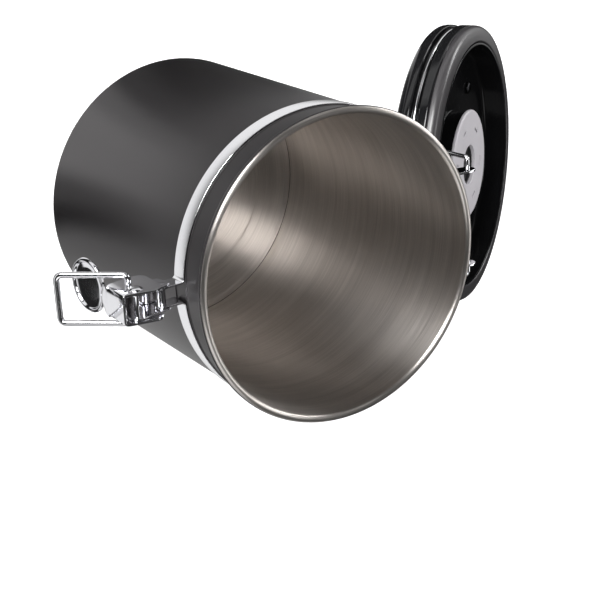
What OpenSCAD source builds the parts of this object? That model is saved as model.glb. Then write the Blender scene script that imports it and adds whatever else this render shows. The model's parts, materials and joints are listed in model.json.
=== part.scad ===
// Clamp-top food canister: a steel can with a wire-hinged plastic lid and a bail latch.
// Millimetres. +Z runs up the can axis from the underside of the base, the latch faces -Y
// and the lid hinge is at +Y. The lid is drawn swung open and the bail swung out.

/* [Can] */
// Outer radius of the can wall
body_r = 60; // [50:1:80]
// Height of the can up to the centre of its rolled rim
rim_z = 132.85; // [110:1:190]
// Thickness of the can wall
wall = 0.8; // [0.6:0.1:1.5]
// Radius of the rolled rim's roll
rim_roll_r = 1.55; // [1.2:0.05:2]
// Radius of the rounded edge at the foot of the can
foot_r = 0.6; // [0.2:0.1:0.7]
// Height of the floor above the surface the can stands on
floor_rise = 2.4; // [1.6:0.1:5]

/* [Neck band] */
// Distance from the middle of the band down from the middle of the rolled rim
band_drop = 18.4; // [14:0.2:30]
// Height of the band
band_h = 7.3; // [5:0.1:8]
// Thickness of the band strip
band_t = 0.8; // [0.6:0.1:1.2]
// Depth to which the band is let into the can wall
band_sunk = 0.3; // [0.1:0.05:0.4]

/* [Lid] */
// Gap between the rolled rim and the underside of the closed lid
lid_gap = 0.3; // [0.2:0.1:1]
// Distance the lid stands out past the can wall
lid_over = 3.5; // [3:0.1:6]
// Height of the lid from its underside to its top
lid_h = 20; // [18:0.5:30]
// Radius of the rounded top edge of the lid
lid_edge_r = 5; // [2:0.5:6]
// Wall thickness of the moulded lid parts
lid_wall = 2; // [1.6:0.1:3]
// Height of the sealing ring on the underside
gasket_h = 4.8; // [3:0.1:6]
// Width of the sealing ring
gasket_w = 7.6; // [6:0.1:10]
// Depth of the hollow in the lid's underside
recess_depth = 12; // [10:0.5:13]
// Angle the lid swings from closed to open
lid_swing = 214.4; // [90:0.2:214.4]

/* [Lid wire] */
// Thickness of the wire round the lid
lid_wire_d = 2.2; // [1.8:0.1:2.6]
// Height of that wire above the lid's underside
lid_wire_h = 11.1; // [10.9:0.1:12]
// Half the distance between the two arms that run down to the hinge
arm_x = 25.6; // [20:0.2:32]
// Distance of the hinge axis out from the can wall
hinge_out = 15.3; // [15:0.1:20]

/* [Valve] */
// Radius of the pale valve cover under the lid
valve_cover_r = 25.3; // [20:0.5:32]
// Radius of the hole in the valve cover
valve_hole_r = 9.1; // [6:0.1:12]
// Distance of the valve cover behind the lid's underside
valve_set_back = 2.3; // [1:0.1:4]
// Thickness of the valve cover
valve_cover_t = 1.6; // [1.2:0.1:2.5]

/* [Date dials] */
// Outer radius of the day dial
day_dial_r = 48; // [44:0.5:50]
// Radius of the joint between the day dial and the month dial
month_dial_r = 35; // [31:0.5:37]
// Radius of the fixed cap in the middle
dial_cap_r = 20; // [16:0.5:24]
// Thickness of the dials
dial_t = 2.4; // [2:0.1:3]

/* [Latch] */
// Distance of the latch pin out from the can wall
latch_pin_out = 8.5; // [8:0.1:10]
// Height of the latch pin above the middle of the band
latch_pin_up = 1.05; // [0:0.05:1.5]
// Thickness of the latch pin
latch_pin_d = 3; // [2.4:0.1:3.2]
// Half the clear width between the two band ears
ear_x = 3.4; // [3:0.1:4]
// Thickness of the ears
ear_t = 0.8; // [0.6:0.1:1]
// Distance between the two pins of the link
link_len = 11.8; // [11:0.1:12.5]
// Angle of the link above level as it hangs
link_rest = 12.3; // [0:0.1:20]
// Thickness of the link's sheet
link_t = 0.7; // [0.6:0.1:0.9]
// Thickness of the lever's sheet
lever_t = 0.9; // [0.7:0.1:1.2]
// Thickness of the rivet between link and lever
rivet_d = 2.2; // [1.8:0.1:2.6]
// Radius of the thumb pad at the end of the lever
pad_r = 10.8; // [8:0.2:12]
// Drop of the thumb pad's centre below the rivet
pad_drop = 30.8; // [28:0.2:36]
// Thickness of the bail wire
bail_d = 2.4; // [2:0.1:2.8]
// Half the distance between the two legs of the bail
bail_x = 9.5; // [8.8:0.1:11]
// Length of the bail from its pivot to the middle of its cross bar
bail_len = 26.8; // [26:0.1:27.4]
// Angle of the swung-out bail below level
bail_droop = 39.6; // [20:0.2:60]

/* [Hidden] */
$fn = 96;
eps = 0.01;
fit_gap = 0.05;
side_gap = 0.15;
turn_gap = 0.3;
dial_gap = 0.3;
bend_swell = 1.05;

// Can
inner_r = body_r - wall;
rim_r = inner_r + rim_roll_r + 0.1;
rim_top = rim_z + rim_roll_r;
floor_t = 0.8;
base_r = inner_r - fit_gap;
foot_ring_w = 2.4;
foot_slope = 1.6;

// Neck band and hinge bracket
band_mid = rim_z - band_drop;
band_lo = band_mid - band_h / 2;
band_in_r = body_r - band_sunk;
band_r = band_in_r + band_t;
ear_round = 3.2;
bracket_t = 1;
bracket_ear_t = 1.4;
bracket_ear_x = arm_x - 4.6;
bracket_round = 3.2;
bracket_sink = 0.3;
hinge_y = body_r + hinge_out;
hinge_z = band_mid + 0.65;

// Lid, drawn closed and then swung open
lid_z = rim_top + lid_gap;
lid_r = body_r + lid_over;
lip_w = 1.1;
gasket_round = 2.2;
gasket_in_round = 0.4;
lip_r = lid_r - gasket_w - fit_gap;
recess_r = lip_r - lip_w;
lip_round = 0.15;
groove_depth = 2.8;
groove_lo = lid_wire_h - lid_wire_d / 2 - 0.8;
groove_hi = lid_wire_h + lid_wire_d / 2 + 1;
groove_r = lid_r - groove_depth;
wire_ring_r = groove_r + lid_wire_d / 2 + 0.1;
wire_stub_past = 0.6;
deck_h = lid_h - dial_t - turn_gap - lid_wall - 0.6;
deck_r = day_dial_r + dial_gap;
skirt_in_r = groove_r - lid_wall;
skirt_lip_r = lid_r - lid_wall - 1.6;
skirt_round = 0.4;
flange_t = 1.6;
flange_r = skirt_in_r - 1;
liner_wall = 1.8;
liner_floor = recess_depth;
liner_floor_t = 1.4;
liner_back = liner_floor + liner_floor_t;
vent_r = 1.5;
screw_r = 41;
screw_count = 4;
screw_turn = 45;
screw_d = 2.3;
screw_bite = 0.6;
screw_play = 0.5;
boss_r = 3.6;

// Valve
valve_boss_r = valve_cover_r - 1.5;
valve_boss_wall = 1.8;
valve_plug_r = valve_boss_r - valve_boss_wall - fit_gap;
valve_back = valve_set_back + valve_cover_t;
flap_r = 7.6;
flap_t = 0.8;
flap_stem_r = 1;
flap_tail = 2.4;
seat_floor = valve_back + 2.2;
seat_t = 1.6;
seat_wall = 2;
seat_lip = 4;
port_count = 6;
port_r = 1;
port_ring_r = 4.6;
slot_count = 6;
slot_turn = 30;
slot_sweep = 13;
slot_w = 0.7;
slot_depth = 0.5;
slot_ring_r = 17;
filter_t = 1.5;

// Date dials
dial_lap = 1.6;
dial_step = dial_t / 2;
dial_lo = lid_h - dial_t - 0.2;
dial_top = dial_lo + dial_t;
day_lap_top = dial_lo + dial_step - dial_gap / 2;
month_lap_low = dial_lo + dial_step + dial_gap / 2;
cap_round = 0.4;
dimple_r = 3;
dimple_up = 1.4;

// Latch, with s the distance out from the can axis along -Y
pin1 = [body_r + latch_pin_out, band_mid + latch_pin_up];
pin2 = pin1 + link_len * [cos(link_rest), sin(link_rest)];
bail_pivot = pin2 + [-0.7, -7.2];
link_in = ear_x + ear_t + side_gap;
link_out = link_in + link_t;
cheek_in = link_out + side_gap;
cheek_out = cheek_in + lever_t;
link_round = 3.2;
link_web_drop = 4.7;
web_s = pin2[0] + 6.9;
cheek_reach = 9.8;
pad_s = pin2[0] + 4.4;
pad_z = pin2[1] - pad_drop;
pad_tilt = 6;
pad_rim_r = 0.9;
pad_dish = 1.4;
arm_half = 4.2;
head_r = 2.8;
head_h = 1.2;
bail_bend_r = 3;
catch_w = 14;
catch_t = 0.8;
catch_s = lid_r + 5.5;
catch_lip = 3.2;

function arc(c, r, a0, a1, n = 12) =
    [for (i = [0:n]) c + r * [cos(a0 + (a1 - a0) * i / n), sin(a0 + (a1 - a0) * i / n)]];

// Places closed-lid geometry, measured up from the lid's underside, where the open lid is
module on_lid()
    translate([0, hinge_y, hinge_z])
        rotate([-lid_swing, 0, 0])
            translate([0, -hinge_y, lid_z - hinge_z])
                children();

// Solid of revolution from an outline of [radius, height] points
module turned(points) rotate_extrude() polygon(points);

// Flat ring
module ring(r_out, r_in, h) {
    difference() {
        cylinder(r = r_out, h = h);
        translate([0, 0, -1]) cylinder(r = r_in, h = h + 2);
    }
}

// Rod between two points
module rod(a, b, d) {
    v = b - a;
    flat = norm([v[0], v[1]]);
    translate(a)
        rotate([0, atan2(flat, v[2]), flat < eps ? 0 : atan2(v[1], v[0])])
            cylinder(d = d, h = norm(v), $fn = 32);
}

// Pin along X, centred on x = 0, at a latch point
module cross_pin(p, r, half) {
    translate([-half, -p[0], p[1]]) rotate([0, 90, 0]) cylinder(r = r, h = 2 * half, $fn = 48);
}

// Two mirrored plates whose outline is given in [s, z]
module side_plates(x_in, x_out) {
    for (m = [0, 1])
        mirror([m, 0, 0])
            translate([x_in, 0, 0])
                rotate([90, 0, -90])
                    mirror([0, 0, 1])
                        linear_extrude(height = x_out - x_in)
                            children();
}

// Drawn can with a rolled rim, open at the top
module can_body() {
    foot = min(foot_r, wall - 0.1);
    seat_r = band_in_r - fit_gap;
    color([0.20, 0.19, 0.20]) {
        turned(concat(
            [[inner_r, 0]], arc([body_r - foot, foot], foot, -90, 0, 3),
            [[body_r, band_lo - turn_gap], [seat_r, band_lo - turn_gap]],
            [[seat_r, band_lo + band_h + turn_gap], [body_r, band_lo + band_h + turn_gap]],
            [[body_r, rim_z], [inner_r, rim_z]]
        ));
        translate([0, 0, rim_z]) rotate_extrude() translate([rim_r, 0]) circle(r = rim_roll_r);
    }
}

// Flat floor of the can
module base_plate() {
    color([0.62, 0.60, 0.57])
    translate([0, 0, floor_rise]) cylinder(r = base_r, h = floor_t);
}

// Foot ring under the floor, inside the foot of the can
module base_ring() {
    color([0.62, 0.60, 0.57])
    turned([
        [base_r - foot_ring_w, 0], [base_r, 0], [base_r, floor_rise],
        [base_r - foot_ring_w - foot_slope, floor_rise]
    ]);
}

// Split band round the neck, its two ends turned out as ears for the latch pin
module neck_band() {
    color([0.85, 0.85, 0.86])
    difference() {
        union() {
            translate([0, 0, band_lo]) ring(band_r, band_in_r, band_h);
            side_plates(ear_x, ear_x + ear_t) ear_outline();
        }
        translate([-ear_x, -band_r - 1, band_lo - 1]) cube([2 * ear_x, 4, band_h + 2]);
        cross_pin(pin1, latch_pin_d / 2 + fit_gap, link_out);
    }
}

module ear_outline() {
    root_s = sqrt(pow(band_in_r, 2) - pow(ear_x + ear_t, 2));
    polygon(concat(
        [[root_s, band_lo + 0.4], [pin1[0] - 1, pin1[1] - ear_round]],
        arc(pin1, ear_round, -90, 90),
        [[pin1[0] - 2, pin1[1] + ear_round], [root_s + 1, band_lo + band_h]],
        [[root_s, band_lo + band_h]]
    ));
}

// Curved plate on the back of the band with two ears that carry the ends of the lid wire
module hinge_bracket() {
    plate_r = band_r + fit_gap;
    ear_in = bracket_ear_x - bracket_ear_t;
    ear_y = sqrt(pow(plate_r + bracket_sink, 2) - pow(ear_in, 2));
    color([0.80, 0.80, 0.81])
    difference() {
        union() {
            intersection() {
                translate([0, 0, band_lo]) ring(plate_r + bracket_t, plate_r, band_h);
                translate([-bracket_ear_x, 0, band_lo - 1])
                    cube([2 * bracket_ear_x, body_r * 2, band_h + 2]);
            }
            for (side = [-1, 1])
                translate([side * (bracket_ear_x - bracket_ear_t / 2) - bracket_ear_t / 2, 0, hinge_z]) {
                    translate([0, ear_y, -bracket_round])
                        cube([bracket_ear_t, hinge_y - ear_y, 2 * bracket_round]);
                    translate([0, hinge_y, 0])
                        rotate([0, 90, 0]) cylinder(r = bracket_round, h = bracket_ear_t);
                }
        }
        translate([-arm_x, hinge_y, hinge_z])
            rotate([0, 90, 0]) cylinder(r = lid_wire_d / 2 + fit_gap, h = 2 * arm_x, $fn = 48);
    }
}

// Pin through the band ears and the link
module latch_pin() {
    color([0.80, 0.80, 0.81]) cross_pin(pin1, latch_pin_d / 2, link_out + fit_gap);
}

// Channel-shaped link between the band ears and the lever
module latch_link() {
    color([0.80, 0.80, 0.81])
    difference() {
        union() {
            side_plates(link_in, link_out) link_outline();
            translate([0, -pin1[0], pin1[1]])
                rotate([-link_rest, 0, 0])
                    translate([-link_out, -link_len - 1.5, -link_web_drop - link_t])
                        cube([2 * link_out, link_len + 4, link_t]);
        }
        cross_pin(pin1, latch_pin_d / 2 + fit_gap, cheek_out);
        cross_pin(pin2, rivet_d / 2 + fit_gap, cheek_out);
    }
}

module link_outline() {
    u = [cos(link_rest), sin(link_rest)];
    d = [sin(link_rest), -cos(link_rest)];
    polygon(concat(
        arc(pin1, link_round, link_rest + 90, link_rest + 180),
        [pin1 - 2.5 * u + (link_web_drop + link_t) * d],
        [pin2 + 1.5 * u + (link_web_drop + link_t) * d],
        arc(pin2, link_round, link_rest, link_rest + 90)
    ));
}

// Thumb lever: two cheeks and a web folded from one sheet, an arm and a round dished pad
module latch_lever() {
    color([0.85, 0.85, 0.86])
    difference() {
        union() {
            side_plates(cheek_in, cheek_out) cheek_outline();
            translate([-cheek_out, -web_s, pin2[1] - 11]) cube([2 * cheek_out, lever_t, 14.2]);
            lever_arm();
            on_pad() thumb_pad();
        }
        cross_pin(pin2, rivet_d / 2, cheek_out + 1);
        cross_pin(bail_pivot, bail_d / 2 + fit_gap, cheek_out + 1);
    }
}

module cheek_outline() {
    top = pin2 + [6.9, 3.2];
    upper = pin2 + [-5.0, 0.6];
    lower = pin2 + [3.6 - cheek_reach, -9.6];
    polygon(concat(
        [top],
        arc(upper, 4.6, 86, 180),
        arc(lower, 3.6, 180, 265),
        [pin2 + [-2.6, -13.4], pin2 + [5.6, -11], pin2 + [6.9, -11]]
    ));
}

module lever_arm() {
    rotate([90, 0, -90])
        mirror([0, 0, 1])
            translate([0, 0, -arm_half])
                linear_extrude(height = 2 * arm_half)
                    polygon([
                        [web_s, pin2[1] - 10], [web_s - lever_t, pin2[1] - 10],
                        [pad_s - 0.2, pad_z + pad_r - 1], [pad_s + 0.9, pad_z + pad_r - 1]
                    ]);
}

module on_pad() {
    translate([0, -pad_s, pad_z]) rotate([90 + pad_tilt, 0, 0]) children();
}

// Dished disc with a rolled edge, its axis along +Z and its hollow side up
module thumb_pad() {
    turned([
        [0, -pad_dish], [pad_r * 0.55, -pad_dish], [pad_r - pad_rim_r, -0.5],
        [pad_r - pad_rim_r, 0.5], [pad_r * 0.55, lever_t - pad_dish], [0, lever_t - pad_dish]
    ]);
    rotate_extrude() translate([pad_r - pad_rim_r, 0]) circle(r = pad_rim_r);
}

// Domed rivet that joins the lever's cheeks through the link
module lever_rivet() {
    color([0.75, 0.75, 0.76]) {
        cross_pin(pin2, rivet_d / 2, cheek_out + eps);
        for (m = [0, 1])
            mirror([m, 0, 0])
                translate([cheek_out, -pin2[0], pin2[1]])
                    rotate([0, 90, 0])
                        rivet_head();
    }
}

module rivet_head() {
    dome_r = (head_r * head_r + head_h * head_h) / (2 * head_h);
    intersection() {
        cylinder(r = head_r, h = head_h);
        translate([0, 0, head_h - dome_r]) sphere(r = dome_r);
    }
}

// Square bail, its ends turned in to pivot in the lever's cheeks
module bail_wire() {
    color([0.88, 0.88, 0.89])
    translate([0, -bail_pivot[0], bail_pivot[1]])
        rotate([bail_droop, 0, 0]) {
            for (m = [0, 1]) mirror([m, 0, 0]) bail_half();
        }
}

module bail_half() {
    reach = bail_len - bail_bend_r;
    inner = cheek_in + fit_gap;
    rod([inner, 0, 0], [bail_x, 0, 0], bail_d);
    translate([bail_x, 0, 0]) sphere(d = bail_d, $fn = 32);
    rod([bail_x, 0, 0], [bail_x, -reach, 0], bail_d);
    translate([bail_x - bail_bend_r, -reach, 0])
        rotate([0, 0, -90])
            rotate_extrude(angle = 90) translate([bail_bend_r, 0]) circle(d = bail_d, $fn = 32);
    rod([0, -bail_len, 0], [bail_x - bail_bend_r, -bail_len, 0], bail_d);
}

// Repeats its children at the liner screws
module at_screws() {
    for (i = [0:screw_count - 1])
        rotate([0, 0, screw_turn + i * 360 / screw_count]) translate([screw_r, 0, 0]) children();
}

// Moulded rim of the lid's top, rounded over to the sunk deck
module lid_cover() {
    color([0.06, 0.06, 0.065])
    on_lid()
        turned(concat(
            [[skirt_in_r, groove_hi], [lid_r, groove_hi]],
            arc([lid_r - lid_edge_r, lid_h - lid_edge_r], lid_edge_r, 0, 90),
            [[deck_r, lid_h], [deck_r, deck_h], [skirt_in_r, deck_h]]
        ));
}

// Side of the lid with the groove that the lid wire lies in
module lid_skirt() {
    color([0.06, 0.06, 0.065])
    on_lid()
        turned([
            [skirt_lip_r, gasket_h], [lid_r - skirt_round, gasket_h], [lid_r, gasket_h + skirt_round],
            [lid_r, groove_lo], [groove_r, groove_lo], [groove_r, groove_hi], [skirt_in_r, groove_hi],
            [skirt_in_r, groove_lo - lid_wall], [skirt_lip_r, groove_lo - lid_wall]
        ]);
}

// Sunk deck under the dials, with a boss for each liner screw
module lid_deck() {
    color([0.06, 0.06, 0.065])
    on_lid()
        difference() {
            union() {
                translate([0, 0, deck_h]) cylinder(r = deck_r - fit_gap, h = lid_wall);
                at_screws()
                    translate([0, 0, liner_back]) cylinder(r = boss_r, h = deck_h - liner_back + eps);
            }
            at_screws()
                translate([0, 0, liner_floor])
                    cylinder(d = screw_d + 2 * fit_gap, h = deck_h + screw_bite - liner_floor);
            translate([0, 0, deck_h - 1]) cylinder(r = vent_r, h = lid_wall + 2);
        }
}

// Moulded wall of the hollow under the lid, with a flange that backs the sealing ring
module lid_liner() {
    color([0.05, 0.05, 0.055])
    on_lid()
        turned([
            [recess_r, lip_round], [recess_r + lip_round, 0], [lip_r - lip_round, 0], [lip_r, lip_round],
            [lip_r, gasket_h - flange_t], [flange_r, gasket_h - flange_t],
            [flange_r, gasket_h + 1], [recess_r + liner_wall, gasket_h + 1],
            [recess_r + liner_wall, liner_floor], [recess_r, liner_floor]
        ]);
}

// Floor of the hollow, open behind the valve
module liner_plate() {
    color([0.05, 0.05, 0.055])
    on_lid()
        translate([0, 0, liner_floor])
            difference() {
                cylinder(r = recess_r + liner_wall, h = liner_floor_t);
                translate([0, 0, -1]) cylinder(r = valve_plug_r - seat_lip, h = liner_floor_t + 2);
                at_screws()
                    translate([0, 0, -1]) cylinder(r = screw_d / 2 + screw_play, h = liner_floor_t + 2);
            }
}

// Collar on the floor of the hollow that the valve plugs into
module valve_collar() {
    color([0.05, 0.05, 0.055])
    on_lid()
        translate([0, 0, valve_back])
            ring(valve_boss_r, valve_boss_r - valve_boss_wall, liner_floor - valve_back);
}

// Sealing ring that bears on the rolled rim
module lid_gasket() {
    in_r = lid_r - gasket_w;
    color([0.16, 0.16, 0.165])
    on_lid()
        turned(concat(
            arc([in_r + gasket_in_round, gasket_in_round], gasket_in_round, 180, 270, 4),
            arc([lid_r - gasket_round, gasket_round], gasket_round, -80, 0),
            [[lid_r, gasket_h - 0.3], [lid_r - 0.3, gasket_h - fit_gap]],
            [[flange_r + fit_gap, gasket_h - fit_gap]],
            [[flange_r + fit_gap, gasket_h - flange_t - fit_gap]],
            [[in_r, gasket_h - flange_t - fit_gap]]
        ));
}

// Wire that lies in the lid's groove and runs down to the hinge, its ends turned in as pivots
module lid_wire() {
    start = acos(arm_x / wire_ring_r);
    elbow_y = sqrt(pow(lid_r, 2) - pow(arm_x, 2)) + lid_wire_d / 2 + 0.5;
    ring_y = sqrt(pow(wire_ring_r, 2) - pow(arm_x, 2));
    pivot = [arm_x, hinge_y, hinge_z - lid_z];
    elbow = [arm_x, elbow_y, lid_wire_h];
    stub = bracket_ear_x - bracket_ear_t - wire_stub_past;
    color([0.88, 0.88, 0.89])
    on_lid() {
        translate([0, 0, lid_wire_h])
            rotate([0, 0, 180 - start])
                rotate_extrude(angle = 180 + 2 * start)
                    translate([wire_ring_r, 0]) circle(d = lid_wire_d, $fn = 32);
        for (m = [0, 1])
            mirror([m, 0, 0]) {
                bend([arm_x, ring_y, lid_wire_h]);
                rod([arm_x, ring_y, lid_wire_h], elbow, lid_wire_d);
                bend(elbow);
                rod(elbow, pivot, lid_wire_d);
                bend(pivot);
                rod([stub, hinge_y, pivot[2]], pivot, lid_wire_d);
            }
    }
}

module bend(place) translate(place) sphere(d = lid_wire_d * bend_swell, $fn = 32);

// Strip hook under the front of the lid wire, which the bail's cross bar seats in
module lid_catch() {
    root_s = groove_r + 0.8;
    color([0.82, 0.82, 0.83])
    on_lid()
        translate([-catch_w / 2, -catch_s, groove_lo]) {
            cube([catch_w, catch_s - root_s, catch_t - fit_gap]);
            cube([catch_w, catch_t, catch_lip]);
        }
}

// Screws that hold the liner to the cover
module liner_screws() {
    color([0.55, 0.55, 0.56])
    on_lid()
        at_screws()
            translate([0, 0, liner_floor]) {
                cylinder(d = screw_d, h = deck_h - liner_floor);
                mirror([0, 0, 1]) rivet_head();
            }
}

// Pale valve cover with a central hole and a ring of short arc slots
module valve_cover() {
    color([0.68, 0.66, 0.68])
    on_lid()
        difference() {
            translate([0, 0, valve_set_back]) ring(valve_cover_r, valve_hole_r, valve_cover_t);
            for (i = [0:slot_count - 1])
                rotate([0, 0, slot_turn + i * 360 / slot_count])
                    translate([0, 0, valve_set_back - 1])
                        rotate_extrude(angle = slot_sweep)
                            translate([slot_ring_r, 0]) square([slot_w, slot_depth + 1]);
        }
}

// Black valve body that plugs the collar behind the cover
module valve_seat() {
    color([0.05, 0.05, 0.055])
    on_lid()
        difference() {
            turned([
                [0, seat_floor], [flap_r + 1, seat_floor], [flap_r + 1, valve_back],
                [valve_plug_r, valve_back], [valve_plug_r, liner_floor - fit_gap],
                [valve_plug_r - seat_wall, liner_floor - fit_gap],
                [valve_plug_r - seat_wall, seat_floor + seat_t],
                [0, seat_floor + seat_t]
            ]);
            translate([0, 0, seat_floor - 1]) {
                for (i = [0:port_count - 1])
                    rotate([0, 0, i * 360 / port_count])
                        translate([port_ring_r, 0, 0]) cylinder(r = port_r, h = seat_t + 2);
                cylinder(r = flap_stem_r, h = seat_t + 2);
            }
        }
}

// Soft one-way flap held by its stem in the middle of the seat
module valve_flap() {
    color([0.10, 0.10, 0.10])
    on_lid() {
        translate([0, 0, seat_floor - flap_t - fit_gap]) cylinder(r = flap_r, h = flap_t);
        translate([0, 0, seat_floor - flap_t]) cylinder(r = flap_stem_r - fit_gap, h = flap_t + flap_tail);
    }
}

// Filter disc behind the seat
module valve_filter() {
    color([0.85, 0.83, 0.78])
    on_lid()
        translate([0, 0, liner_floor - filter_t - 0.1])
            ring(valve_plug_r - seat_wall - fit_gap, 2 * flap_stem_r, filter_t);
}

// Outer numbered dial
module day_dial() {
    in_r = month_dial_r + dial_gap;
    color([0.10, 0.10, 0.105])
    on_lid()
        difference() {
            turned([
                [in_r - dial_lap, dial_lo], [day_dial_r, dial_lo], [day_dial_r, dial_top],
                [in_r, dial_top], [in_r, day_lap_top], [in_r - dial_lap, day_lap_top]
            ]);
            translate([0, (day_dial_r + month_dial_r) / 2, dial_top + dimple_up]) sphere(r = dimple_r);
        }
}

// Inner numbered dial
module month_dial() {
    in_r = dial_cap_r + dial_gap;
    out_r = month_dial_r - dial_lap;
    color([0.13, 0.13, 0.135])
    on_lid()
        difference() {
            turned([
                [in_r - dial_lap, dial_lo], [out_r, dial_lo], [out_r, month_lap_low],
                [month_dial_r, month_lap_low], [month_dial_r, dial_top],
                [in_r, dial_top], [in_r, day_lap_top], [in_r - dial_lap, day_lap_top]
            ]);
            translate([0, (month_dial_r + dial_cap_r) / 2, dial_top + dimple_up]) sphere(r = dimple_r);
        }
}

// Fixed cap that holds the dials down, vented in the middle
module dial_cap() {
    neck_r = dial_cap_r - dial_lap;
    color([0.06, 0.06, 0.065])
    on_lid()
        turned([
            [vent_r, deck_h + lid_wall], [neck_r, deck_h + lid_wall], [neck_r, month_lap_low],
            [dial_cap_r, month_lap_low], [dial_cap_r, dial_top - cap_round],
            [dial_cap_r - cap_round, dial_top], [vent_r, dial_top]
        ]);
}

can_body();
base_plate();
base_ring();
neck_band();
hinge_bracket();
latch_pin();
latch_link();
latch_lever();
lever_rivet();
bail_wire();
lid_cover();
lid_skirt();
lid_deck();
lid_liner();
liner_plate();
lid_gasket();
lid_wire();
lid_catch();
liner_screws();
valve_collar();
valve_cover();
valve_seat();
valve_flap();
valve_filter();
day_dial();
month_dial();
dial_cap();
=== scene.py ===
import json
import math

import bmesh
import bpy
from mathutils import Matrix, Vector

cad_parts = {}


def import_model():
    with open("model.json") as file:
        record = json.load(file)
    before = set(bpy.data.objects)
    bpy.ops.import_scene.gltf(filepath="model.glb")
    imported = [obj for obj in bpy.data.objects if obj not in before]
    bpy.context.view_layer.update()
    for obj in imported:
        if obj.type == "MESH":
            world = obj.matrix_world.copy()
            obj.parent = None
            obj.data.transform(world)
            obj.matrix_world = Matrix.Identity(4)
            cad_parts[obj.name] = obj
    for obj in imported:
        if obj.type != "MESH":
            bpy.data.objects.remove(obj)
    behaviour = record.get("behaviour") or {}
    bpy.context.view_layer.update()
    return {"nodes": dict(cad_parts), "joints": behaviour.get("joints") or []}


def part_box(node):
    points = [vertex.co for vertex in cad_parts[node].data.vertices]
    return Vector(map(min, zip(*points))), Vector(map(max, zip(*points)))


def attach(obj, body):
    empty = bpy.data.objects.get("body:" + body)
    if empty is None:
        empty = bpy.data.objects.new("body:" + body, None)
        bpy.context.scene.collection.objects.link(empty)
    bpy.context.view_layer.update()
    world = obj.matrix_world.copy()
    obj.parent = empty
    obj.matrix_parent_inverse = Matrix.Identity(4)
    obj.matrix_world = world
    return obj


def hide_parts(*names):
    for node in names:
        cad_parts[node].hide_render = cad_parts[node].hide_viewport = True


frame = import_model()
MM = 0.001
ROUND = 192
FINE_ROUND = 256


# ---------------------------------------------------------------- measures from the frame

def joint(name):
    return next(j for j in frame["joints"] if j["name"] == name)


def joint_point(name):
    return Vector(joint(name)["pos_m"]) / MM


def measured(node, place=Matrix.Identity(4)):
    """Smallest and largest radius about Z, and lowest and highest z, of a CAD node, in mm."""
    points = [place @ v.co / MM for v in frame["nodes"][node].data.vertices]
    radii = [math.hypot(p.x, p.y) for p in points]
    heights = [p.z for p in points]
    return min(radii), max(radii), min(heights), max(heights)


def box_mm(node):
    low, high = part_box(node)
    return low / MM, high / MM


LID_GAP = 0.3
RIM_TOP = box_mm("can_body")[1].z
HINGE = joint_point("lid_hinge")
SWING = math.radians(joint("lid_hinge")["range_deg"][1])
OPEN = (
    Matrix.Translation(HINGE)
    @ Matrix.Rotation(-SWING, 4, "X")
    @ Matrix.Translation(-HINGE)
    @ Matrix.Translation((0, 0, RIM_TOP + LID_GAP))
)


def in_lid(node):
    """Smallest and largest radius, lowest and highest height of a CAD node in the lid's own frame."""
    back = OPEN.inverted()
    points = [back @ (v.co / MM) for v in frame["nodes"][node].data.vertices]
    radii = [math.hypot(p.x, p.y) for p in points]
    heights = [p.z for p in points]
    return min(radii), max(radii), min(heights), max(heights)


# ---------------------------------------------------------------- mesh helpers, in mm

def rounded(points, steps=4):
    """Closed outline of (x, y, fillet) corners, each rounded off by a short curve."""
    out = []
    count = len(points)
    for i, (x, y, fillet) in enumerate(points):
        p = Vector((x, y))
        if fillet <= 0:
            out.append(p)
            continue
        before = Vector(points[i - 1][:2]) - p
        after = Vector(points[(i + 1) % count][:2]) - p
        cut = min(fillet, 0.48 * before.length, 0.48 * after.length)
        a, b = p + before.normalized() * cut, p + after.normalized() * cut
        for k in range(steps + 1):
            t = k / steps
            out.append(a * (1 - t) ** 2 + p * 2 * t * (1 - t) + b * t ** 2)
    return out


def arc(centre, radius, start, end, steps=10):
    """Points of an arc, angles in degrees, each with no fillet."""
    out = []
    for k in range(steps + 1):
        a = math.radians(start + (end - start) * k / steps)
        out.append((centre[0] + radius * math.cos(a), centre[1] + radius * math.sin(a), 0))
    return out


def lathe(outline, segments=ROUND):
    """Closed outline of (radius, height) turned about Z."""
    bm = bmesh.new()
    rings = []
    for r, z in outline:
        if r < 1e-4:
            rings.append([bm.verts.new((0, 0, z))])
            continue
        turn = [2 * math.pi * k / segments for k in range(segments)]
        rings.append([bm.verts.new((r * math.cos(a), r * math.sin(a), z)) for a in turn])
    for i, low in enumerate(rings):
        high = rings[(i + 1) % len(rings)]
        if len(low) == 1 and len(high) == 1:
            continue
        for k in range(segments):
            n = (k + 1) % segments
            corners = [low[k % len(low)], low[n % len(low)], high[n % len(high)], high[k % len(high)]]
            distinct = list(dict.fromkeys(corners))
            if len(distinct) > 2:
                bm.faces.new(distinct)
    bmesh.ops.recalc_face_normals(bm, faces=bm.faces)
    return bm


def bent_path(points, radius, steps=6):
    """Open 3D path with each inner corner rounded."""
    out = [Vector(points[0])]
    for i in range(1, len(points) - 1):
        p = Vector(points[i])
        before, after = Vector(points[i - 1]) - p, Vector(points[i + 1]) - p
        cut = min(radius, 0.48 * before.length, 0.48 * after.length)
        a, b = p + before.normalized() * cut, p + after.normalized() * cut
        for k in range(steps + 1):
            t = k / steps
            out.append(a * (1 - t) ** 2 + p * 2 * t * (1 - t) + b * t ** 2)
    out.append(Vector(points[-1]))
    return out


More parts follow.
